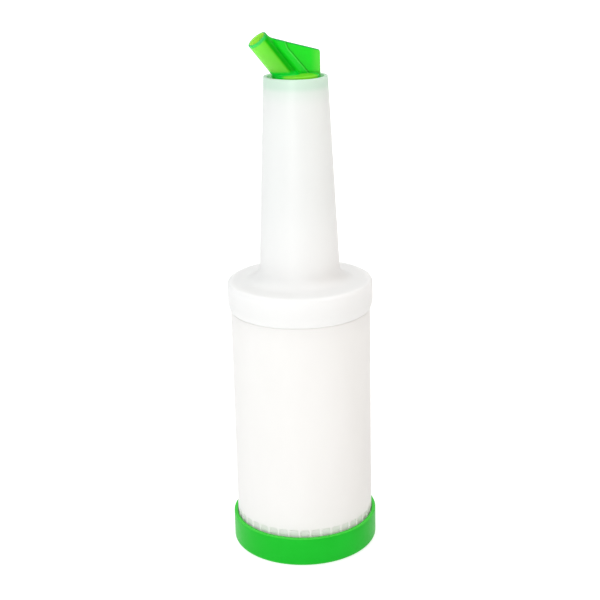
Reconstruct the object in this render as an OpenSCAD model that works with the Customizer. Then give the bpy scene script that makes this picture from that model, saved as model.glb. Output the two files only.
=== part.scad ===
// Bar pouring bottle: wide-mouth jar, screw-on pouring neck, push-in spout,
// and a screw lid stored under the base as a foot.
// Millimetres, +Z up, origin on the bottle axis at the lid's underside.
// The spout tube points towards -X and its fin lies in the XZ plane.

/* [Jar] */
// Outer radius of the cylindrical body
body_r = 44.5; // [42:0.5:48]
// Wall thickness of the blown body
body_wall = 1.4; // [1.2:0.1:2]
// Height of the jar's shoulder above the surface it stands on
shoulder_z = 160; // [130:1:200]
// Radius of the rounding under the shoulder
shoulder_round = 1; // [1:0.25:3]
// Height of the threaded mouth above the shoulder
finish_h = 17; // [16:0.2:22]
// Radial step from the body in to the threaded mouth
finish_step = 3.1; // [2.8:0.1:3.6]
// Wall thickness of the threaded mouth
finish_wall = 2.2; // [1.8:0.1:2.6]

/* [Base panels] */
// Number of shallow panels around the foot
panel_count = 40; // [30:1:44]
// Depth of each panel
panel_depth = 0.55; // [0.3:0.05:0.7]
// Width of the rib left between two panels
panel_rib = 1.3; // [1:0.1:2]
// Height of the panels' upper ends
panel_top = 24.2; // [22:0.2:30]

/* [Neck] */
// Outer radius of the collar
collar_r = 46.2; // [46:0.1:46.6]
// Rounding of the collar's upper edge
collar_round = 2.5; // [2:0.5:5]
// Outer radius of the neck at its mouth
neck_top_r = 19.7; // [18:0.1:22]
// Outer radius that the neck's taper reaches at the fillet
neck_low_r = 25.3; // [24:0.1:28]
// Height of the neck above the collar's top face
neck_h = 128.4; // [90:1:150]
// Radius of the fillet between the neck and the collar's top face
neck_fillet = 9; // [6:0.5:11]
// Wall thickness of the neck and of the collar's top
neck_wall = 2; // [1.6:0.1:2.2]

/* [Spout] */
// Radial running clearance of the plug in the neck's mouth
plug_gap = 0.08; // [0.02:0.01:0.1]
// Depth of the plug below the neck's rim
plug_depth = 8.4; // [6:0.2:12]
// Radius of the raised boss that the tube and the fin stand on
disc_r = 14.6; // [14.2:0.1:15]
// Rise of the pouring tube above horizontal
tube_angle = 51.3; // [49:0.1:56]
// Outer radius of the pouring tube
tube_r = 6.5; // [6:0.1:7]
// Radius of the bore through the pouring tube
tube_bore_r = 5.1; // [4.5:0.1:5.2]
// Length of the tube's axis above the rim plane
tube_len = 29.8; // [28:0.1:35]
// Thickness of the outer part of the fin
fin_t = 1.8; // [1.4:0.1:2.2]
// Thickness of the web that joins the fin to the tube
web_t = 3.6; // [3:0.1:4.4]

/* [Lid] */
// Outer radius of the lid
lid_r = 47.2; // [47:0.1:48]
// Height of the lid
lid_h = 19.5; // [16:0.5:20]
// Thickness of the lid's side wall
lid_wall = 1.9; // [1.7:0.1:2]
// Thickness of the lid's flat top, which is its floor when stored
lid_floor = 2; // [1.6:0.1:2.6]
// Rounding of the lid's outer corner
lid_round = 2.6; // [1.5:0.1:3.5]

/* [Hidden] */
$fn = 96;

// every other size follows the body's radius, so the four pieces keep fitting
grow = body_r - 44.5;
foot_z = lid_floor;
rim_z = shoulder_z + finish_h;
finish_r = body_r - finish_step;
collar_out = collar_r + grow;
collar_in = finish_r + 2.5;
collar_low_z = shoulder_z + 0.4;
collar_top_z = rim_z + neck_wall;
lid_out = lid_r + grow;
lid_in = lid_out - lid_wall;

neck_z = collar_top_z + neck_h;
fil_z = collar_top_z + neck_fillet;
taper = (neck_low_r - neck_top_r) / (neck_z - fil_z);
taper_a = atan(taper);
fil_r = neck_low_r + neck_fillet / cos(taper_a);
mouth_r = neck_top_r - 2.3;
mouth_z = neck_z - 8.9;

disc_top = 1.0;
plug_top = -2.2;
plug_low = -4.0;
tube_foot_x = -5.7;
web_z = neck_z - 1.2;
grow_s = mouth_r - 17.4;

// points of an arc from angle a0 to a1 about [x, z]
function arc(x, z, r, a0, a1, n = 8) =
    [for (i = [0:n]) [x + r * cos(a0 + (a1 - a0) * i / n), z + r * sin(a0 + (a1 - a0) * i / n)]];

// radius of the neck's outer taper at height z
function neck_at(z) = neck_low_r - (z - fil_z) * taper;

// a shallow dished cup with a rounded outer corner
module lid() {
    color("limegreen")
    rotate_extrude()
    polygon(concat(
        [[0, 0]],
        arc(lid_out - lid_round, lid_round, lid_round, -90, 0, 10),
        arc(lid_out - 0.5, lid_h - 0.5, 0.5, 0, 90, 3),
        arc(lid_in + 0.4, lid_h - 0.4, 0.4, 90, 180, 3),
        arc(lid_in - 1, lid_floor + 1, 1, 0, -90, 4),
        [[0, lid_floor]]));
}

// outline of one panel, a rectangle with rounded upper corners
module panel_outline(w, z0, z1, r) {
    polygon(concat(
        [[-w / 2, z0], [w / 2, z0]],
        arc(w / 2 - r, z1 - r, r, 0, 90, 4),
        arc(-w / 2 + r, z1 - r, r, 90, 180, 4)));
}

// blown cylindrical jar: pushed-up base, panelled foot, shoulder and mouth
module jar() {
    ri = body_r - body_wall;
    fi = finish_r - finish_wall;
    panel_w = 2 * PI * body_r / panel_count - panel_rib;
    color("whitesmoke")
    difference() {
        rotate_extrude()
        polygon(concat(
            [[0, foot_z + 2.8], [body_r - 10.5, foot_z + 2.8], [body_r - 7, foot_z]],
            arc(body_r - 3, foot_z + 3, 3, -90, 0, 8),
            arc(body_r - shoulder_round, shoulder_z - shoulder_round, shoulder_round, 0, 90, 8),
            [[finish_r, shoulder_z]],
            arc(finish_r - 0.6, rim_z - 0.6, 0.6, 0, 90, 3),
            arc(fi + 0.5, rim_z - 0.5, 0.5, 90, 180, 3),
            [[fi, shoulder_z - 0.6], [ri - 0.6, shoulder_z - 4.2], [ri, shoulder_z - 5.8]],
            arc(ri - 2, foot_z + 3.6, 2, 0, -90, 5),
            [[body_r - 6.8, foot_z + 1.6], [body_r - 10.9, foot_z + 4.4], [0, foot_z + 4.4]]));
        for (i = [0:panel_count - 1])
            rotate([0, 0, (i + 0.5) * 360 / panel_count])
            translate([body_r - panel_depth, 0, 0])
            rotate([90, 0, 90])
            linear_extrude(height = 2)
            panel_outline(panel_w, foot_z + 4, panel_top, 1.5);
    }
}

// screw collar, flared fillet and long tapered neck, one moulding
module neck() {
    color("ghostwhite")
    rotate_extrude()
    polygon(concat(
        [[collar_in, collar_low_z], [collar_out - 1.6, collar_low_z], [collar_out - 0.8, collar_low_z + 1.5]],
        [[collar_out - 0.25, collar_low_z + 3.4], [collar_out, collar_low_z + 5.2]],
        arc(collar_out - collar_round, collar_top_z - collar_round, collar_round, 0, 90, 10),
        arc(fil_r, fil_z, neck_fillet, -90, -180 + taper_a, 14),
        arc(neck_top_r - 0.4, neck_z - 0.4, 0.4, 0, 90, 3),
        arc(mouth_r + 0.4, neck_z - 0.4, 0.4, 90, 180, 3),
        [[mouth_r, mouth_z], [neck_at(mouth_z - 1) - neck_wall / cos(taper_a), mouth_z - 1]],
        arc(fil_r, fil_z, neck_fillet + neck_wall, -180 + taper_a, -90, 14),
        arc(collar_in - 0.8, rim_z - 0.8, 0.8, 90, 0, 3)));
}

// the pouring tube's axis frame, with +Z along the tube from the rim plane
module tube_frame() {
    translate([tube_foot_x, 0, neck_z])
    rotate([0, tube_angle - 90, 0])
    children();
}

// push-in pouring spout: plug skirt, hollow boss, slanted tube and flat fin
module spout() {
    pr = mouth_r - plug_gap;
    dr = disc_r + grow_s;
    c = cos(tube_angle);
    s = sin(tube_angle);
    // point beside the tube: t along its axis, d to its right
    function beside(t, d) = [tube_foot_x - t * c + d * s, neck_z + t * s + d * c];
    inner = (tube_r + tube_bore_r) / 2;
    top_l = beside(tube_len - 3.3, inner);
    edge = mouth_r - 1.2;
    fall = tan(15.7);
    top_r = [edge, top_l[1] - (edge - top_l[0]) * fall];
    low = neck_z - 0.8;
    foot = beside((low - neck_z - inner * c) / s, inner);
    color("lime")
    difference() {
        union() {
            rotate_extrude()
            polygon([
                [0, web_z], [dr - 1.8, web_z], [dr - 1.8, neck_z + plug_low], [pr - 1.4, neck_z + plug_low],
                [pr - 1.4, neck_z - plug_depth], [pr - 0.7, neck_z - plug_depth],
                [pr, neck_z - plug_depth + 1.2], [pr, neck_z + plug_top], [dr, neck_z + plug_top],
                [dr, neck_z + disc_top - 0.7], [dr - 0.2, neck_z + disc_top - 0.2], [dr - 0.7, neck_z + disc_top],
                [0, neck_z + disc_top]]);
            intersection() {
                tube_frame() translate([0, 0, -10]) cylinder(r = tube_r, h = tube_len + 10);
                translate([-60, -60, web_z + 0.6]) cube([120, 120, 60]);
            }
            // outer part of the fin, with its rounded upper corner; past the boss it stands on the plug's flange
            translate([0, fin_t / 2, 0]) rotate([90, 0, 0]) linear_extrude(height = fin_t)
            polygon(concat(
                [foot, [dr - 1, low], [dr - 1, neck_z + plug_top - 0.6], [edge, neck_z + plug_top - 0.6]],
                arc(top_r[0] - 2.2, top_r[1] - 1.67, 2.2, 0, 74.3, 6),
                [top_l]));
            // thicker web beside the tube
            translate([0, web_t / 2, 0]) rotate([90, 0, 0]) linear_extrude(height = web_t)
            polygon([
                foot, [9, low], [8, neck_z + 1.3], [7.1, neck_z + 2.6], [4.7, neck_z + 5.5], [1.9, neck_z + 8.8],
                [-1.3, neck_z + 12.5], [-4.4, neck_z + 16], [-5.5, neck_z + 17.7], [-6.2, neck_z + 19.5],
                [-6.6, top_l[1] - (-6.6 - top_l[0]) * fall], top_l]);
        }
        tube_frame() translate([0, 0, -8]) cylinder(r = tube_bore_r, h = tube_len + 20);
    }
}

lid();
jar();
neck();
spout();
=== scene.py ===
import math

import bpy
import numpy as np
from mathutils import Matrix, Vector


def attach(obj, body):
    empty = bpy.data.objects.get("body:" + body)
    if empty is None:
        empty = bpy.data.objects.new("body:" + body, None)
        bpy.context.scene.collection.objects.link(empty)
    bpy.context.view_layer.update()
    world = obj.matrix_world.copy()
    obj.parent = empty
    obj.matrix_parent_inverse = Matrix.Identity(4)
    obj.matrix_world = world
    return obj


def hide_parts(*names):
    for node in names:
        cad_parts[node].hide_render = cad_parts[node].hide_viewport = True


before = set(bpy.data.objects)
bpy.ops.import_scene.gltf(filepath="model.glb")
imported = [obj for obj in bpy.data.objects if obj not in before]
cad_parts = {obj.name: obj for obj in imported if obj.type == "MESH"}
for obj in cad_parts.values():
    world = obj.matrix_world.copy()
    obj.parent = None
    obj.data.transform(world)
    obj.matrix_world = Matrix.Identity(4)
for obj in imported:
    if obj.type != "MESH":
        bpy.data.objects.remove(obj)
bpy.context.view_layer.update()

scene = bpy.context.scene
MM = 0.001

# ---------------------------------------------------------------- sizes, in millimetres, as in the CAD
BODY_R, BODY_WALL, SHOULDER_Z, RIM_Z = 44.5, 1.4, 160.0, 177.0
FINISH_R, FINISH_WALL = 41.4, 2.2
FOOT_Z = 2.0
COLLAR_OUT, COLLAR_IN, COLLAR_LOW, COLLAR_TOP = 46.2, 43.9, 160.4, 179.0
NECK_Z, NECK_TOP_R, NECK_LOW_R, FILLET, WALL = 307.4, 19.7, 25.3, 9.0, 2.0
MOUTH_R, MOUTH_Z = 17.4, 298.5
FIL_Z = COLLAR_TOP + FILLET
TAPER = (NECK_LOW_R - NECK_TOP_R) / (NECK_Z - FIL_Z)
TAPER_A = math.atan(TAPER)
FIL_R = NECK_LOW_R + FILLET / math.cos(TAPER_A)
LID_OUT, LID_IN, LID_H, LID_FLOOR = 47.2, 45.3, 19.5, 2.0
TUBE_A = math.radians(51.3)
TUBE_X, TUBE_LEN, TUBE_R, BORE_R = -5.7, 29.8, 6.5, 5.1
BOSS_R, FIN_EDGE, FIN_FALL = 14.6, 16.2, math.tan(math.radians(15.7))

# ---------------------------------------------------------------- camera, matched to the photo's view
TURN = math.radians(22.0)          # the spout's tube comes towards the camera by this much
CAM_D, CAM_H = 790.94, 419.23
PITCH, YAW, ROLL = math.radians(17.015), math.radians(1.841), math.radians(-0.731)
F_PX, PX, PY = 1300.0, 340.0, 280.0


def turned(v):
    """From the photo's own axes, with the view along +Y, to the row's axes."""
    c, s = math.cos(TURN), math.sin(TURN)
    return Vector((v[0] * c + v[1] * s, -v[0] * s + v[1] * c, v[2]))


def make_camera():
    fwd = Vector((math.sin(YAW), math.cos(YAW), 0))
    right = Vector((math.cos(YAW), -math.sin(YAW), 0))
    up = Vector((0, 0, 1))
    f2 = fwd * math.cos(PITCH) - up * math.sin(PITCH)
    u2 = up * math.cos(PITCH) + fwd * math.sin(PITCH)
    r3 = right * math.cos(ROLL) + u2 * math.sin(ROLL)
    u3 = -right * math.sin(ROLL) + u2 * math.cos(ROLL)
    r3, u3, f2 = turned(r3), turned(u3), turned(f2)
    data = bpy.data.cameras.new("camera")
    data.sensor_fit = "HORIZONTAL"
    data.sensor_width = 36.0
    data.lens = F_PX / 600.0 * 36.0
    data.shift_x = 0.5 - PX / 600.0
    data.shift_y = PY / 600.0 - 0.5
    data.clip_end = 60
    cam = bpy.data.objects.new("camera", data)
    m = Matrix.Identity(4)
    for i in range(3):
        m[i][0], m[i][1], m[i][2] = r3[i], u3[i], -f2[i]
    loc = turned((0, -CAM_D, CAM_H)) * MM
    for i in range(3):
        m[i][3] = loc[i]
    cam.matrix_world = m
    scene.collection.objects.link(cam)
    scene.camera = cam


make_camera()


# ---------------------------------------------------------------- mesh helpers
def arc(x, z, r, a0, a1, n=8):
    return [(x + r * math.cos(math.radians(a0 + (a1 - a0) * i / n)),
             z + r * math.sin(math.radians(a0 + (a1 - a0) * i / n))) for i in range(n + 1)]


def rows(r, z0, z1, step):
    """Points straight up or down a wall, for relief."""
    n = max(1, round(abs(z1 - z0) / step))
    return [(r, z0 + (z1 - z0) * i / n) for i in range(n + 1)]


def tidy(profile):
    out = []
    for p in profile:
        if not out or math.hypot(p[0] - out[-1][0], p[1] - out[-1][1]) > 1e-4:
            out.append(p)
    return out


def lathe(name, profile, angles, relief=None, sharp=32, painted_light_mask=None):
    """Revolves an open profile that starts and ends on the axis, or a closed loop clear of it. relief(a, r, z) gives a new radius for arrays."""
    prof = tidy(profile)
    closed = prof[0][0] > 1e-6
    if closed and math.hypot(prof[0][0] - prof[-1][0], prof[0][1] - prof[-1][1]) < 1e-4:
        prof = prof[:-1]
    r = np.array([p[0] for p in prof])
    z = np.array([p[1] for p in prof])
    a = np.asarray(angles)
    n, m = len(a), len(prof)
    R = np.repeat(r[:, None], n, 1)
    Z = np.repeat(z[:, None], n, 1)
    A = np.repeat(a[None, :], m, 0)
    if relief:
        R = relief(A, R, Z)
    pts = np.stack([R * np.cos(A), R * np.sin(A), Z], -1) * MM
    T = painted_light_mask(A, np.repeat(r[:, None], n, 1), Z) if painted_light_mask else None
    verts, index, tones = [], np.zeros((m, n), int), []
    for i in range(m):
        if r[i] < 1e-6:
            index[i, :] = len(verts)
            verts.append((0.0, 0.0, z[i] * MM))
            tones.append(0.0)
        else:
            index[i, :] = len(verts) + np.arange(n)
            verts.extend(map(tuple, pts[i]))
            tones.extend(T[i] if painted_light_mask else ())
    faces = []
    last = m if closed else m - 1
    for i in range(last):
        j = (i + 1) % m
        for k in range(n):
            l = (k + 1) % n
            quad = [int(index[i, k]), int(index[i, l]), int(index[j, l]), int(index[j, k])]
            face = [q for t, q in enumerate(quad) if q != quad[t - 1]]
            if len(face) > 2:
                faces.append(face)
    mesh = bpy.data.meshes.new(name)
    mesh.from_pydata(verts, [], faces)
    if painted_light_mask:
        mesh.attributes.new("panel", "FLOAT", "POINT").data.foreach_set("value", np.array(tones, np.float32))
    mesh.validate()
    return finish_mesh(name, mesh, sharp)


def finish_mesh(name, mesh, sharp):
    mesh.polygons.foreach_set("use_smooth", [True] * len(mesh.polygons))
    mesh.update()
    if sharp:
        mesh.set_sharp_from_angle(angle=math.radians(sharp))
    obj = bpy.data.objects.new(name, mesh)
    scene.collection.objects.link(obj)
    return obj


def even(n):
    return np.arange(n) * 2 * math.pi / n


def smooth(x, a, b):
    t = np.clip((x - a) / (b - a), 0, 1)
    return t * t * (3 - 2 * t)


def thread(A, Z, z0, z1, pitch, width, height, hand=1):
    """Height of a rounded helical ridge that fades in and out near z0 and z1."""
    turns = hand * A / (2 * math.pi)
    d = (Z - z0) / pitch - turns
    d = (d - np.round(d)) * pitch
    ridge = height * smooth(np.abs(d), width / 2, width / 6)
    return ridge * smooth(Z, z0, z0 + 1.6) * smooth(Z, z1, z1 - 1.6)


# ---------------------------------------------------------------- lid, stored under the base
def make_lid():
    step = 0.35
    profile = (
        [(0, 0.35), (1.6, 0.35), (2.0, 0.06), (2.3, 0.0)]
        + [(r, 0.0) for r in (8, 16, 24, 32, 39)]
        + arc(LID_OUT - 2.6, 2.6, 2.6, -90, 0, 12)
        + [(LID_OUT, 7), (LID_OUT, 12), (LID_OUT, 16)]
        + arc(LID_OUT - 0.55, LID_H - 0.55, 0.55, 0, 90, 5)
        # a low bead inside the rim, which all but closes the gap around the stored jar
        + arc(LID_IN - 0.1, LID_H - 0.45, 0.45, 90, 180, 4)
        + [(LID_IN - 0.55, LID_H - 1.3), (LID_IN - 0.42, LID_H - 1.8), (LID_IN - 0.12, LID_H - 2.3)]
        + rows(LID_IN, LID_H - 2.6, 4.0, step)
        + arc(LID_IN - 1, LID_FLOOR + 1, 1, 0, -90, 5)
        + [(r, LID_FLOOR) for r in (40, 30, 20, 10)]
        + [(0, LID_FLOOR)])

    def relief(A, R, Z):
        inner = np.abs(R - LID_IN) < 0.02
        return np.where(inner, R - thread(A, Z, 5.0, LID_H - 2.0, 4.2, 2.0, 0.5), R)

    return lathe("lid_cup", profile, even(288), relief)


# ---------------------------------------------------------------- jar
PANELS = 40


def make_jar():
    ri, fi = BODY_R - BODY_WALL, FINISH_R - FINISH_WALL
    profile = (
        [(0, FOOT_Z + 2.8), (12, FOOT_Z + 2.8), (24, FOOT_Z + 2.8)]
        + [(BODY_R - 11.2, FOOT_Z + 2.8), (BODY_R - 10.2, FOOT_Z + 2.6), (BODY_R - 7.8, FOOT_Z + 0.4), (BODY_R - 7, FOOT_Z)]
        + arc(BODY_R - 3, FOOT_Z + 3, 3, -90, 0, 9)
        + rows(BODY_R, 5.6, 7.2, 0.4) + rows(BODY_R, 8.5, 20.5, 3.0) + rows(BODY_R, 21.4, 25.0, 0.22)
        + rows(BODY_R, 27, SHOULDER_Z - 6, 8)
        + arc(BODY_R - 0.5, SHOULDER_Z - 0.5, 0.5, 0, 90, 8)
        + [(FINISH_R + 0.35, SHOULDER_Z), (FINISH_R + 0.1, SHOULDER_Z + 0.1), (FINISH_R, SHOULDER_Z + 0.35)]
        + rows(FINISH_R, SHOULDER_Z + 0.8, RIM_Z - 1.0, 0.32)
        + arc(FINISH_R - 0.6, RIM_Z - 0.6, 0.6, 0, 90, 5)
        + arc(fi + 0.5, RIM_Z - 0.5, 0.5, 90, 180, 4)
        + rows(fi, RIM_Z - 1, SHOULDER_Z - 0.6, 3)
        + [(fi + 0.5, SHOULDER_Z - 1.4), (fi + 1.6, SHOULDER_Z - 2.6), (ri - 0.6, SHOULDER_Z - 4.2), (ri - 0.12, SHOULDER_Z - 5.0), (ri, SHOULDER_Z - 5.8)]
        + rows(ri, SHOULDER_Z - 8, 8, 10)
        + arc(ri - 2, FOOT_Z + 3.6, 2, 0, -90, 6)
        + [(BODY_R - 6.8, FOOT_Z + 1.6), (BODY_R - 7.6, FOOT_Z + 1.9), (BODY_R - 10.2, FOOT_Z + 4.2), (BODY_R - 10.9, FOOT_Z + 4.4)]
        + [(20, FOOT_Z + 4.4), (8, FOOT_Z + 4.4), (0, FOOT_Z + 4.4)])
    # columns bunch at each rib's edges
    part = np.array([0.0, 0.075, 0.105, 0.135, 0.22, 0.36, 0.5, 0.64, 0.78, 0.865, 0.895, 0.925])
    angles = ((np.arange(PANELS)[:, None] + part[None, :]) * 2 * math.pi / PANELS).ravel()
    pitch = 2 * math.pi * BODY_R / PANELS

    def panel(A, R, Z):
        """1 in a panel, 0 outside, soft at its edge."""
        u = (A / (2 * math.pi) * PANELS) % 1.0
        across = np.minimum(u, 1 - u) * pitch          # distance from the rib's middle
        w = pitch / 2 - 0.65                           # half a panel
        x = pitch / 2 - across                         # distance from the panel's middle
        rc = 1.5
        dx = np.maximum(np.abs(x) - (w - rc), 0)
        dz = np.maximum(Z - (24.2 - rc), 0)
        d = np.sqrt(dx * dx + dz * dz) - rc            # under 0 inside a panel
        outer = (np.abs(R - BODY_R) < 0.02) & (Z > 5.5) & (Z < 26)
        return smooth(d, 0.10, -0.30) * smooth(Z, 5.9, 6.6) * outer

    def relief(A, R, Z):
        R = R - 0.55 * panel(A, R, Z)
        fin = (np.abs(R - FINISH_R) < 0.02) & (Z > SHOULDER_Z + 0.5)
        return np.where(fin, R + thread(A, Z, SHOULDER_Z + 3.0, RIM_Z - 1.6, 4.2, 2.0, 1.1), R)

    # the panel mask also goes to the material as an attribute, for the painted shade in the panels
    return lathe("jar_body", profile, angles, relief, painted_light_mask=panel)


# ---------------------------------------------------------------- collar and neck, one moulding
def make_neck():
    def neck_at(z):
        return NECK_LOW_R - (z - FIL_Z) * TAPER

    wall = WALL / math.cos(TAPER_A)
    ta = math.degrees(TAPER_A)
    foot = COLLAR_LOW - 0.32
    profile = (
        [(COLLAR_IN + 0.2, foot), (COLLAR_OUT - 1.75, foot)]
        + [(COLLAR_OUT - 1.45, foot + 0.3), (COLLAR_OUT - 1.15, foot + 0.95), (COLLAR_OUT - 0.85, foot + 1.7), (COLLAR_OUT - 0.55, foot + 2.6),
           (COLLAR_OUT - 0.3, foot + 3.6), (COLLAR_OUT - 0.12, foot + 4.6), (COLLAR_OUT - 0.02, foot + 5.6)]
        + rows(COLLAR_OUT, 167, 175, 2.5)
        + arc(COLLAR_OUT - 2.5, COLLAR_TOP - 2.5, 2.5, 0, 90, 14)
        + [(41.5, COLLAR_TOP), (39, COLLAR_TOP), (36.6, COLLAR_TOP)]
        + arc(FIL_R, FIL_Z, FILLET, -90, -180 + ta, 26)
        + [(neck_at(z), z) for z in range(192, 306, 6)]
        + arc(NECK_TOP_R - 0.4, NECK_Z - 0.4, 0.4, 0, 90, 5)
        + arc(MOUTH_R + 0.5, NECK_Z - 0.5, 0.5, 90, 180, 5)
        + rows(MOUTH_R, NECK_Z - 1, MOUTH_Z, 2)
        + [(neck_at(MOUTH_Z - 1) - wall, MOUTH_Z - 1)]
        + [(neck_at(z) - wall, z) for z in range(294, 190, -8)]
        + list(reversed(arc(FIL_R, FIL_Z, FILLET + WALL, -90, -180 + ta, 20)))
        + [(38.0, RIM_Z), (41.0, RIM_Z)]
        + arc(COLLAR_IN - 0.8, RIM_Z - 0.8, 0.8, 90, 0, 4)
        + rows(COLLAR_IN, RIM_Z - 1.2, COLLAR_LOW + 0.1, 0.32))

    def relief(A, R, Z):
        inner = (np.abs(R - COLLAR_IN) < 0.02) & (Z < RIM_Z - 1)
        return np.where(inner, R - thread(A, Z, COLLAR_LOW + 1.6, RIM_Z - 2.2, 4.2, 1.8, 0.95), R)

    return lathe("neck_body", profile, even(288), relief)


# ---------------------------------------------------------------- spout, from distances to its solids
def poly_distance(x, y, pts):
    """Signed distance to a polygon, under 0 inside."""
    best = np.full(x.shape, 1e9)
    inside = np.zeros(x.shape, bool)
    n = len(pts)
    for i in range(n):
        ax, ay = pts[i]
        bx, by = pts[(i + 1) % n]
        ex, ey = bx - ax, by - ay
        t = np.clip(((x - ax) * ex + (y - ay) * ey) / (ex * ex + ey * ey), 0, 1)
        best = np.minimum(best, (x - ax - t * ex) ** 2 + (y - ay - t * ey) ** 2)
        if ay != by:
            cross = ((ay > y) != (by > y)) & (x < (bx - ax) * (y - ay) / (by - ay) + ax)
            inside ^= cross
    d = np.sqrt(best)
    return np.where(inside, -d, d)


def line_distance(x, y, pts):
    """Distance to an open line of points."""
    best = np.full(x.shape, 1e9)
    for (ax, ay), (bx, by) in zip(pts, pts[1:]):
        ex, ey = bx - ax, by - ay
        t = np.clip(((x - ax) * ex + (y - ay) * ey) / (ex * ex + ey * ey), 0, 1)
        best = np.minimum(best, (x - ax - t * ex) ** 2 + (y - ay - t * ey) ** 2)
    return np.sqrt(best)


def soft_min(a, b, k):
    h = np.maximum(k - np.abs(a - b), 0) / k
    return np.minimum(a, b) - h * h * k / 4


def soft_max(a, b, k):
    return -soft_min(-a, -b, k)


def plate(d, y, t, rnd):
    """A flat plate of half thickness t from its outline's distance d, with rounded edges."""
    d, w = d + rnd, np.abs(y) - t + rnd
    return np.minimum(np.maximum(d, w), 0) + np.sqrt(np.maximum(d, 0) ** 2 + np.maximum(w, 0) ** 2) - rnd


def beside(t, d):
    """Point t along the tube's axis and d to its right, in the fin's plane."""
    c, s = math.cos(TUBE_A), math.sin(TUBE_A)
    return (TUBE_X - t * c + d * s, t * s + d * c)


INNER = (TUBE_R + BORE_R) / 2
TOP_L = beside(TUBE_LEN - 3.3, INNER)
TOP_R = (FIN_EDGE, TOP_L[1] - (FIN_EDGE - TOP_L[0]) * FIN_FALL)
FOOT = beside((-0.8 - INNER * math.cos(TUBE_A)) / math.sin(TUBE_A), INNER)
STEP_LINE = [(9, -0.8), (8, 1.3), (7.1, 2.6), (4.7, 5.5), (1.9, 8.8), (-1.3, 12.5), (-4.4, 16.0), (-5.5, 17.7), (-6.2, 19.5),
             (-6.6, TOP_L[1] - (-6.6 - TOP_L[0]) * FIN_FALL)]


def spout_distance(x, y, z):
    """z is counted from the neck's rim."""
    c, s = math.cos(TUBE_A), math.sin(TUBE_A)
    r = np.sqrt(x * x + y * y)
    pr, dr = MOUTH_R - 0.08, BOSS_R
    rot = poly_distance(r, z, [
        (-5.0, -1.2), (dr - 1.8, -1.2), (dr - 1.8, -4.0), (pr - 1.4, -4.0), (pr - 1.4, -8.4), (pr - 0.7, -8.4), (pr, -7.2),
        (pr, -2.2), (dr, -2.2), (dr, 0.3), (dr - 0.2, 0.8), (dr - 0.7, 1.0), (-5.0, 1.0)])
    t = -(x - TUBE_X) * c + z * s
    q = (x - TUBE_X) * s + z * c
    across = np.sqrt(q * q + y * y)
    tube = plate(across - TUBE_R, t - TUBE_LEN / 2 + 6, TUBE_LEN / 2 + 6, 0.45)
    tube = np.maximum(tube, -0.6 - z)
    fin = plate(poly_distance(x, z, [FOOT, (dr - 1, -0.8), (dr - 1, -2.8), (FIN_EDGE, -2.8)]
                + arc(TOP_R[0] - 2.2, TOP_R[1] - 1.67, 2.2, 0, 74.3, 8) + [TOP_L]), y, 0.9, 0.3)
    web = plate(poly_distance(x, z, [FOOT] + STEP_LINE + [TOP_L]), y, 1.8, 0.35)
    plates = soft_min(fin, web, 0.4)
    out = soft_min(tube, plates, 1.6)
    out = soft_min(out, rot, 1.0)
    bore = across - BORE_R
    return soft_max(out, -bore, 0.35)


def step_highlight_and_shade(x, y, z):
    """Painted light at the step: over 0 for a painted highlight on the web's rounded edge, under 0 for a painted shade
    in the corner below it.
    """
    d = line_distance(x, z, STEP_LINE)
    side = poly_distance(x, z, [FOOT] + STEP_LINE + [TOP_L]) < 0
    high = np.abs(y) > 1.35
    d = np.where(z > 1.15, d, 9.0)              # only above the boss
    painted_highlight = smooth(d, 1.25, 0.55) * (side & high)
    painted_shade = smooth(d, 1.2, 0.45) * (~side | ~high) * (np.abs(y) > 0.5)
    return painted_highlight - painted_shade


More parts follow.
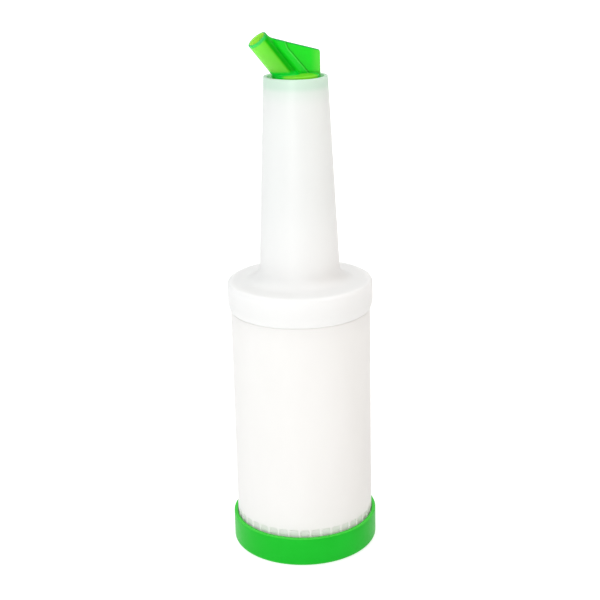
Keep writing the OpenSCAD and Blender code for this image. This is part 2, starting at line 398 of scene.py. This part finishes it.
def surface_nets(fn, low, high, h):
    """A mesh of quads where fn is 0, from one point in each grid cell that the surface crosses."""
    ax = [np.arange(low[i], high[i] + h, h) for i in range(3)]
    X, Y, Z = np.meshgrid(*ax, indexing="ij")
    f = fn(X, Y, Z)
    s = f < 0
    nx, ny, nz = f.shape
    corner = [(i, j, k) for i in (0, 1) for j in (0, 1) for k in (0, 1)]
    part = [f[i:nx - 1 + i, j:ny - 1 + j, k:nz - 1 + k] for i, j, k in corner]
    count = sum((p < 0).astype(np.int8) for p in part)
    active = (count > 0) & (count < 8)
    cells = np.argwhere(active)
    ids = np.full(active.shape, -1, np.int64)
    ids[active] = np.arange(len(cells))
    vals = np.stack([p[active] for p in part], 1)
    total = np.zeros((len(cells), 3))
    hits = np.zeros(len(cells))
    C = np.array(corner, float)
    for a in range(8):
        for b in range(a + 1, 8):
            if np.abs(C[a] - C[b]).sum() != 1:
                continue
            fa, fb = vals[:, a], vals[:, b]
            m = (fa < 0) != (fb < 0)
            t = np.where(m, fa / np.where(m, fa - fb, 1), 0)
            total += np.where(m[:, None], C[a] + t[:, None] * (C[b] - C[a]), 0)
            hits += m
    verts = np.array(low) + h * (cells + total / hits[:, None])
    # two steps straight onto the surface
    e = 0.02
    for _ in range(2):
        x, y, z = verts.T
        d = fn(x, y, z)
        g = np.stack([fn(x + e, y, z) - fn(x - e, y, z), fn(x, y + e, z) - fn(x, y - e, z), fn(x, y, z + e) - fn(x, y, z - e)], 1) / (2 * e)
        n2 = np.maximum((g * g).sum(1), 0.25)
        move = -(d / n2)[:, None] * g
        size = np.sqrt((move ** 2).sum(1))
        verts = verts + move * np.minimum(1, 0.35 * h / np.maximum(size, 1e-9))[:, None]
    quads = []
    for axis in range(3):
        lo = [slice(None)] * 3
        hi = [slice(None)] * 3
        lo[axis], hi[axis] = slice(0, -1), slice(1, None)
        edge = s[tuple(lo)] != s[tuple(hi)]
        first = s[tuple(lo)]
        at = np.argwhere(edge)
        u, v = [(1, 2), (2, 0), (0, 1)][axis]
        ok = (at[:, u] > 0) & (at[:, v] > 0) & (at[:, u] < f.shape[u] - 1) & (at[:, v] < f.shape[v] - 1)
        at = at[ok]
        flip = first[tuple(at.T)]
        du, dv = np.zeros(3, int), np.zeros(3, int)
        du[u], dv[v] = 1, 1
        q = np.stack([ids[tuple((at - du - dv).T)], ids[tuple((at - dv).T)], ids[tuple(at.T)], ids[tuple((at - du).T)]], 1)
        q[~flip] = q[~flip][:, ::-1]
        quads.append(q)
    return verts, np.concatenate(quads)


def make_spout():
    h = 0.36
    verts, quads = surface_nets(spout_distance, (-32.0, -18.2, -9.2), (18.2, 18.2, 29.2), h)
    painted_light_mask = step_highlight_and_shade(*verts.T)
    verts = verts + np.array([0, 0, NECK_Z])
    mesh = bpy.data.meshes.new("spout_body")
    mesh.from_pydata((verts * MM).tolist(), [], quads.tolist())
    mesh.attributes.new("step_highlight_and_shade", "FLOAT", "POINT").data.foreach_set("value", painted_light_mask.astype(np.float32))
    mesh.validate()
    return finish_mesh("spout_body", mesh, 0)


# ---------------------------------------------------------------- materials
class Nodes:
    def __init__(self, name):
        self.mat = bpy.data.materials.new(name)
        self.mat.use_nodes = True
        self.t = self.mat.node_tree
        self.t.nodes.clear()
        self.out = self.add("ShaderNodeOutputMaterial")
        self.b = self.add("ShaderNodeBsdfPrincipled")
        self.link(self.b.outputs[0], self.out.inputs["Surface"])
        self.obj = self.add("ShaderNodeTexCoord").outputs["Object"]

    def add(self, kind, **props):
        n = self.t.nodes.new(kind)
        for k, v in props.items():
            setattr(n, k, v)
        return n

    def link(self, a, b):
        self.t.links.new(a, b)

    def noise(self, scale, detail=3, rough=0.5, stretch=None):
        src = self.obj
        if stretch:
            m = self.add("ShaderNodeMapping")
            m.inputs["Scale"].default_value = stretch
            self.link(src, m.inputs["Vector"])
            src = m.outputs[0]
        n = self.add("ShaderNodeTexNoise")
        n.inputs["Scale"].default_value = scale
        n.inputs["Detail"].default_value = detail
        n.inputs["Roughness"].default_value = rough
        self.link(src, n.inputs["Vector"])
        return n.outputs[0]

    def ramp(self, fac, stops):
        n = self.add("ShaderNodeValToRGB")
        e = n.color_ramp.elements
        while len(e) < len(stops):
            e.new(0.5)
        for el, (p, c) in zip(e, stops):
            el.position = p
            el.color = (*c, 1) if len(c) == 3 else c
        self.link(fac, n.inputs[0])
        return n.outputs[0]

    def span(self, v, a, b, c, d):
        n = self.add("ShaderNodeMapRange")
        n.inputs["From Min"].default_value = a
        n.inputs["From Max"].default_value = b
        n.inputs["To Min"].default_value = c
        n.inputs["To Max"].default_value = d
        self.link(v, n.inputs["Value"])
        return n.outputs[0]

    def step(self, v, a, b):
        """0 at a, 1 at b, smooth between."""
        n = self.add("ShaderNodeMapRange", interpolation_type="SMOOTHSTEP")
        n.inputs["From Min"].default_value = a
        n.inputs["From Max"].default_value = b
        self.link(v, n.inputs["Value"])
        return n.outputs[0]

    def sum(self, *terms):
        """(socket, factor) pairs, or plain numbers, added."""
        total = None
        for t in terms:
            v = self.math("MULTIPLY", *t) if isinstance(t, tuple) else t
            total = v if total is None else self.math("ADD", total, v)
        return total

    def math(self, op, a, b=None):
        n = self.add("ShaderNodeMath", operation=op)
        for i, v in enumerate((a, b)):
            if v is None:
                continue
            if isinstance(v, (int, float)):
                n.inputs[i].default_value = v
            else:
                self.link(v, n.inputs[i])
        return n.outputs[0]

    def mix(self, fac, a, b, blend="MIX"):
        n = self.add("ShaderNodeMix", data_type="RGBA", blend_type=blend)
        for sock, v in ((n.inputs[0], fac), (n.inputs[6], a), (n.inputs[7], b)):
            if isinstance(v, (int, float)):
                sock.default_value = v
            elif isinstance(v, tuple):
                sock.default_value = (*v, 1)
            else:
                self.link(v, sock)
        return n.outputs[2]

    def bumps(self, *pairs):
        """(height socket, distance in metres, strength) one after another"""
        last = None
        for hgt, dist, strength in pairs:
            n = self.add("ShaderNodeBump")
            n.inputs["Strength"].default_value = strength
            n.inputs["Distance"].default_value = dist
            self.link(hgt, n.inputs["Height"])
            if last:
                self.link(last, n.inputs["Normal"])
            last = n.outputs[0]
        self.link(last, self.b.inputs["Normal"])


def white_plastic(name, low, high, rough, through, shade_panels=False, rim_painted_light=False):
    """Milky polyethylene: part of the light goes through each face of the wall, faint cloudiness, satin skin."""
    n = Nodes(name)
    cloud = n.noise(38, 3, 0.55, (1, 1, 0.45))
    col = n.ramp(cloud, [(0.3, low), (0.7, high)])
    if shade_panels:
        panel_shade_mask = n.add("ShaderNodeAttribute", attribute_name="panel").outputs["Fac"]
        # painted shade: the base panels are made darker and a little green, standing in for their recesses and the
        # green lid beside them
        col = n.mix(panel_shade_mask, col, n.mix(1.0, col, (0.90, 0.93, 0.905), "MULTIPLY"))
    if rim_painted_light:
        # painted light: the foot of the neck and the collar are made whiter, standing in for the light that the jar's
        # mouth behind them sends back through the wall
        up = n.add("ShaderNodeSeparateXYZ")
        n.link(n.obj, up.inputs[0])
        painted_collar_light = n.step(n.sum((up.outputs[2], 1000.0), -NECK_Z), -72.0, -119.0)
        col = n.mix(painted_collar_light, col, (0.956, 0.961, 0.956))
        # painted light: the mouth is given the green of the plug's light showing through the wall, strongest on the
        # inside of the mouth
        sep = n.add("ShaderNodeSeparateXYZ")
        n.link(n.obj, sep.inputs[0])
        x, y = sep.outputs[0], sep.outputs[1]
        z = n.sum((sep.outputs[2], 1000.0), -NECK_Z)
        r = n.sum((n.math("SQRT", n.sum(n.math("MULTIPLY", x, x), n.math("MULTIPLY", y, y))), 1000.0))
        painted_green_mask = n.sum((n.step(z, -8.5, -4.5), 0.65), (n.step(z, -17.0, -6.0), 0.35))
        painted_plug_green = n.mix(n.step(r, 18.6, 17.6), (0.815, 0.955, 0.87), (0.72, 0.96, 0.76))
        col = n.mix(painted_green_mask, col, n.mix(1.0, col, painted_plug_green, "MULTIPLY"))
    n.link(col, n.b.inputs["Base Color"])
    fine = n.noise(2600, 2, 0.6)
    wave = n.noise(55, 2, 0.5, (1, 1, 0.35))
    n.link(n.span(n.noise(420, 3), 0.3, 0.7, rough - 0.05, rough + 0.06), n.b.inputs["Roughness"])
    n.b.inputs["IOR"].default_value = 1.51
    n.bumps((wave, 0.0012, 0.25), (fine, 0.00008, 0.25))
    tr = n.add("ShaderNodeBsdfTranslucent")
    n.link(col, tr.inputs["Color"])
    mix = n.add("ShaderNodeMixShader")
    mix.inputs[0].default_value = through
    n.link(n.b.outputs[0], mix.inputs[1])
    n.link(tr.outputs[0], mix.inputs[2])
    n.link(mix.outputs[0], n.out.inputs["Surface"])
    return n.mat


def green_lid(name):
    n = Nodes(name)
    cloud = n.noise(60, 3)
    col = n.ramp(cloud, [(0.3, (0.003, 0.435, 0.014)), (0.7, (0.005, 0.465, 0.019))])
    sep = n.add("ShaderNodeSeparateXYZ")
    n.link(n.obj, sep.inputs[0])
    # painted highlight: a lighter green band along the rim's top edge
    edge = n.step(n.sum((sep.outputs[2], 1000.0)), LID_H - 0.7, LID_H - 0.2)
    col = n.mix(n.math("MULTIPLY", edge, 0.6), col, (0.07, 0.62, 0.06))
    n.link(col, n.b.inputs["Base Color"])
    n.link(n.span(n.noise(500, 3), 0.3, 0.7, 0.34, 0.44), n.b.inputs["Roughness"])
    n.b.inputs["IOR"].default_value = 1.49
    n.b.inputs["Specular IOR Level"].default_value = 0.13
    n.bumps((n.noise(110, 2), 0.0006, 0.2), (n.noise(2400, 2), 0.00006, 0.3))
    return n.mat


def green_spout(name):
    """Tinted see-through plastic: lime where the tube's wall is thin, deep green at the web, the fin and the foot."""
    n = Nodes(name)
    sep = n.add("ShaderNodeSeparateXYZ")
    n.link(n.obj, sep.inputs[0])
    x = n.sum((sep.outputs[0], 1000.0))
    y = n.math("ABSOLUTE", n.sum((sep.outputs[1], 1000.0)))
    z = n.sum((sep.outputs[2], 1000.0), -NECK_Z)
    xr = n.sum(x, -TUBE_X)
    c, s = math.cos(TUBE_A), math.sin(TUBE_A)
    along = n.sum((xr, -c), (z, s))
    q = n.sum((xr, s), (z, c))
    across = n.math("SQRT", n.sum(n.math("MULTIPLY", q, q), n.math("MULTIPLY", y, y)))
    angle = n.math("MULTIPLY", n.math("ARCTAN2", y, q), 180.0 / math.pi)   # 0 at the fin, 180 away from it
    both = lambda *v: v[0] if len(v) == 1 else n.math("MULTIPLY", v[0], both(*v[1:]))

    fin = n.mix(n.step(x, 9.0, 16.0), (0.004, 0.79, 0.008), (0.11, 0.84, 0.050))
    col = n.mix(n.step(y, 1.2, 1.6), fin, (0.0003, 0.78, 0.012))
    # the fin's upper edge, with a painted shade along it
    edge = n.sum((x, -FIN_FALL), (z, -1.0), TOP_L[1] + TOP_L[0] * FIN_FALL)
    col = n.mix(both(n.step(edge, 1.0, 0.3), n.step(across, 7.0, 7.6)), col, (0.012, 0.40, 0.085))
    # the tube: lime, with a deep band beside the web
    lime = n.mix(n.step(angle, 150.0, 80.0), (0.27, 0.95, 0.085), (0.20, 0.93, 0.045))
    tube = n.mix(n.step(angle, 66.0, 84.0), (0.0003, 0.62, 0.006), lime)
    tube = n.mix(n.step(angle, 38.0, 20.0), tube, (0.0003, 0.74, 0.013))
    tube = n.mix(n.step(z, 4.2, 2.4), tube, (0.0003, 1.0, 0.050))
    tube = n.mix(n.step(along, TUBE_LEN - 2.4, TUBE_LEN - 1.0), tube, n.mix(n.step(angle, 75.0, 35.0), (0.045, 0.76, 0.15), (0.002, 0.56, 0.05)))
    col = n.mix(both(n.step(across, 7.3, 6.8), n.step(z, 0.2, 0.8)), col, tube)
    # the bore: painted shade deep inside it, painted light towards its open end
    bore = n.mix(n.step(along, 16.0, 26.0), (0.08, 0.76, 0.03), (0.62, 1.0, 0.10))
    col = n.mix(n.step(across, 5.45, 5.25), col, bore)
    # the boss and the plug: the boss's front half is painted lime, a painted light standing in for light seen through
    # it from below
    boss = both(n.step(z, 1.35, 1.05), n.step(across, 6.7, 7.4))
    boss = both(boss, n.step(y, 1.9, 2.6))
    front = n.sum((x, math.cos(TURN)), (y, math.sin(TURN)))
    col = n.mix(boss, col, n.mix(both(n.step(front, -9.0, -5.0), n.step(x, 11.5, 8.5)), (0.0005, 0.95, 0.05), (0.32, 1.0, 0.040)))
    r = n.math("SQRT", n.sum(n.math("MULTIPLY", x, x), n.math("MULTIPLY", y, y)))
    col = n.mix(both(n.step(z, -1.4, -2.0), n.step(r, 12.4, 12.9)), col, (0.02, 0.62, 0.06))
    # painted light: the flange's top, deep in the mouth, is painted pale green
    col = n.mix(both(n.step(z, -2.7, -2.4), n.step(z, -1.5, -1.9), n.step(r, BOSS_R + 0.2, BOSS_R + 0.8)), col, (0.55, 0.97, 0.60))
    # the step between the web and the fin: a painted highlight on its rounded edge and a painted shade in the corner
    # below
    painted_light_mask = n.add("ShaderNodeAttribute", attribute_name="step_highlight_and_shade").outputs["Fac"]
    col = n.mix(n.math("MULTIPLY", n.step(painted_light_mask, 0.05, 0.9), 0.6), col, (0.12, 0.92, 0.12))
    col = n.mix(n.math("MULTIPLY", n.step(painted_light_mask, -0.05, -0.9), 0.75), col, (0.001, 0.43, 0.006))
    cloud = n.span(n.noise(90, 3), 0.3, 0.7, 0.94, 1.0)
    col = n.mix(1.0, col, cloud, "MULTIPLY")
    n.link(col, n.b.inputs["Base Color"])
    n.link(n.span(n.noise(500, 3), 0.3, 0.7, 0.16, 0.24), n.b.inputs["Roughness"])
    n.b.inputs["IOR"].default_value = 1.45
    n.b.inputs["Specular IOR Level"].default_value = 0.05
    n.b.inputs["Transmission Weight"].default_value = 0.45
    n.bumps((n.noise(160, 2), 0.0004, 0.2), (n.noise(2600, 2), 0.00005, 0.2))
    return n.mat


JAR_MAT = white_plastic("jar_milky", (0.917, 0.914, 0.898), (0.935, 0.932, 0.918), 0.36, 0.28, shade_panels=True)
NECK_MAT = white_plastic("neck_milky", (0.905, 0.918, 0.911), (0.925, 0.938, 0.931), 0.34, 0.35, rim_painted_light=True)
LID_MAT = green_lid("lid_plastic")
SPOUT_MAT = green_spout("spout_plastic")


# ---------------------------------------------------------------- pieces on their bodies
def place(obj, body, node, mat):
    obj.data.materials.clear()
    obj.data.materials.append(mat)
    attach(obj, body)
    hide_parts(node)


for node, mat in (("lid", LID_MAT), ("jar", JAR_MAT), ("neck", NECK_MAT), ("spout", SPOUT_MAT)):
    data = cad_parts[node].data
    data.materials.clear()
    data.materials.append(mat)

place(make_lid(), "lid", "lid", LID_MAT)
place(make_jar(), "jar", "jar", JAR_MAT)
place(make_neck(), "neck", "neck", NECK_MAT)
place(make_spout(), "spout", "spout", SPOUT_MAT)


# ---------------------------------------------------------------- floor, light and tone
def make_stage():
    mesh = bpy.data.meshes.new("floor")
    s = 14.0
    mesh.from_pydata([(-s, -s, 0), (s, -s, 0), (s, s, 0), (-s, s, 0)], [], [(0, 1, 2, 3)])
    floor = bpy.data.objects.new("floor", mesh)
    scene.collection.objects.link(floor)
    n = Nodes("floor_glow")
    n.link(n.ramp(n.noise(3, 2), [(0.3, (0.40, 0.40, 0.40)), (0.7, (0.42, 0.42, 0.42))]), n.b.inputs["Base Color"])
    n.b.inputs["Roughness"].default_value = 0.9
    n.b.inputs["Specular IOR Level"].default_value = 0.1
    n.b.inputs["Emission Color"].default_value = (1, 1, 1, 1)
    sep = n.add("ShaderNodeSeparateXYZ")
    n.link(n.obj, sep.inputs[0])
    spot = turned((0.16, -0.02, 0))
    dx = n.sum((sep.outputs[0], 1000.0), -1000.0 * spot.x)
    dy = n.sum((sep.outputs[1], 1000.0), -1000.0 * spot.y)
    far = n.math("SQRT", n.sum(n.math("MULTIPLY", dx, dx), n.math("MULTIPLY", dy, dy)))
    # the floor glows like a light table, weaker in a round patch to the object's right, so that less light rises onto
    # that side
    n.link(n.sum((n.step(far, 220.0, 90.0), -0.17), 0.82), n.b.inputs["Emission Strength"])
    mesh.materials.append(n.mat)


def area(name, at, to, size, power, color=(1, 1, 1)):
    data = bpy.data.lights.new(name, "AREA")
    data.shape = "RECTANGLE"
    data.size, data.size_y = size
    data.energy = power
    data.color = color
    obj = bpy.data.objects.new(name, data)
    loc, aim = turned(at), turned(to)
    obj.location = loc
    obj.rotation_euler = (aim - loc).to_track_quat("-Z", "Y").to_euler()
    scene.collection.objects.link(obj)


make_stage()
area("key", (-0.50, -1.65, 0.50), (0, 0, 0.17), (0.8, 0.9), 8.1, (1.0, 1.0, 1.0))


def make_world():
    """A studio that is brightest overhead, dim near the horizon and a little warm on one side; the backdrop itself is white."""
    world = bpy.data.worlds.new("studio")
    world.use_nodes = True
    t = world.node_tree
    t.nodes.clear()

    def add(kind, **props):
        n = t.nodes.new(kind)
        for k, v in props.items():
            setattr(n, k, v)
        return n

    def level(direction, a, b):
        dot = add("ShaderNodeVectorMath", operation="DOT_PRODUCT")
        t.links.new(way, dot.inputs[0])
        dot.inputs[1].default_value = direction
        n = add("ShaderNodeMapRange", interpolation_type="SMOOTHSTEP")
        n.inputs["From Min"].default_value = a
        n.inputs["From Max"].default_value = b
        t.links.new(dot.outputs["Value"], n.inputs["Value"])
        return n.outputs[0]

    def mix(fac, a, b):
        n = add("ShaderNodeMix", data_type="RGBA")
        for sock, v in ((n.inputs[0], fac), (n.inputs[6], a), (n.inputs[7], b)):
            if isinstance(v, tuple):
                sock.default_value = (*v, 1)
            else:
                t.links.new(v, sock)
        return n.outputs[2]

    way = add("ShaderNodeTexCoord").outputs["Generated"]
    col = mix(level(turned((1, 0, 0)), 0.1, 0.8), (0.34, 0.34, 0.34), (0.22, 0.08, 0.0))
    col = mix(level(turned((-1, 0, 0)), 0.15, 0.85), col, (0.21, 0.21, 0.22))
    col = mix(level(turned((0, 1, 0)), 0.0, 0.8), col, (0.50, 0.50, 0.50))
    col = mix(level((0, 0, 1), 0.25, 0.95), col, (1.90, 1.90, 1.90))
    lit, back, pick = add("ShaderNodeBackground"), add("ShaderNodeBackground"), add("ShaderNodeMixShader")
    t.links.new(col, lit.inputs[0])
    back.inputs[0].default_value = (1, 1, 1, 1)
    path = add("ShaderNodeLightPath")

    def join(op, a, b):
        n = add("ShaderNodeMath", operation=op)
        t.links.new(a, n.inputs[0])
        t.links.new(b, n.inputs[1])
        return n.outputs[0]

    seen_through = join("MULTIPLY", path.outputs["Is Transmission Ray"], path.outputs["Is Glossy Ray"])
    t.links.new(join("MAXIMUM", path.outputs["Is Camera Ray"], seen_through), pick.inputs[0])
    t.links.new(lit.outputs[0], pick.inputs[1])
    t.links.new(back.outputs[0], pick.inputs[2])
    t.links.new(pick.outputs[0], add("ShaderNodeOutputWorld").inputs[0])
    scene.world = world


make_world()
scene.view_settings.view_transform = "Standard"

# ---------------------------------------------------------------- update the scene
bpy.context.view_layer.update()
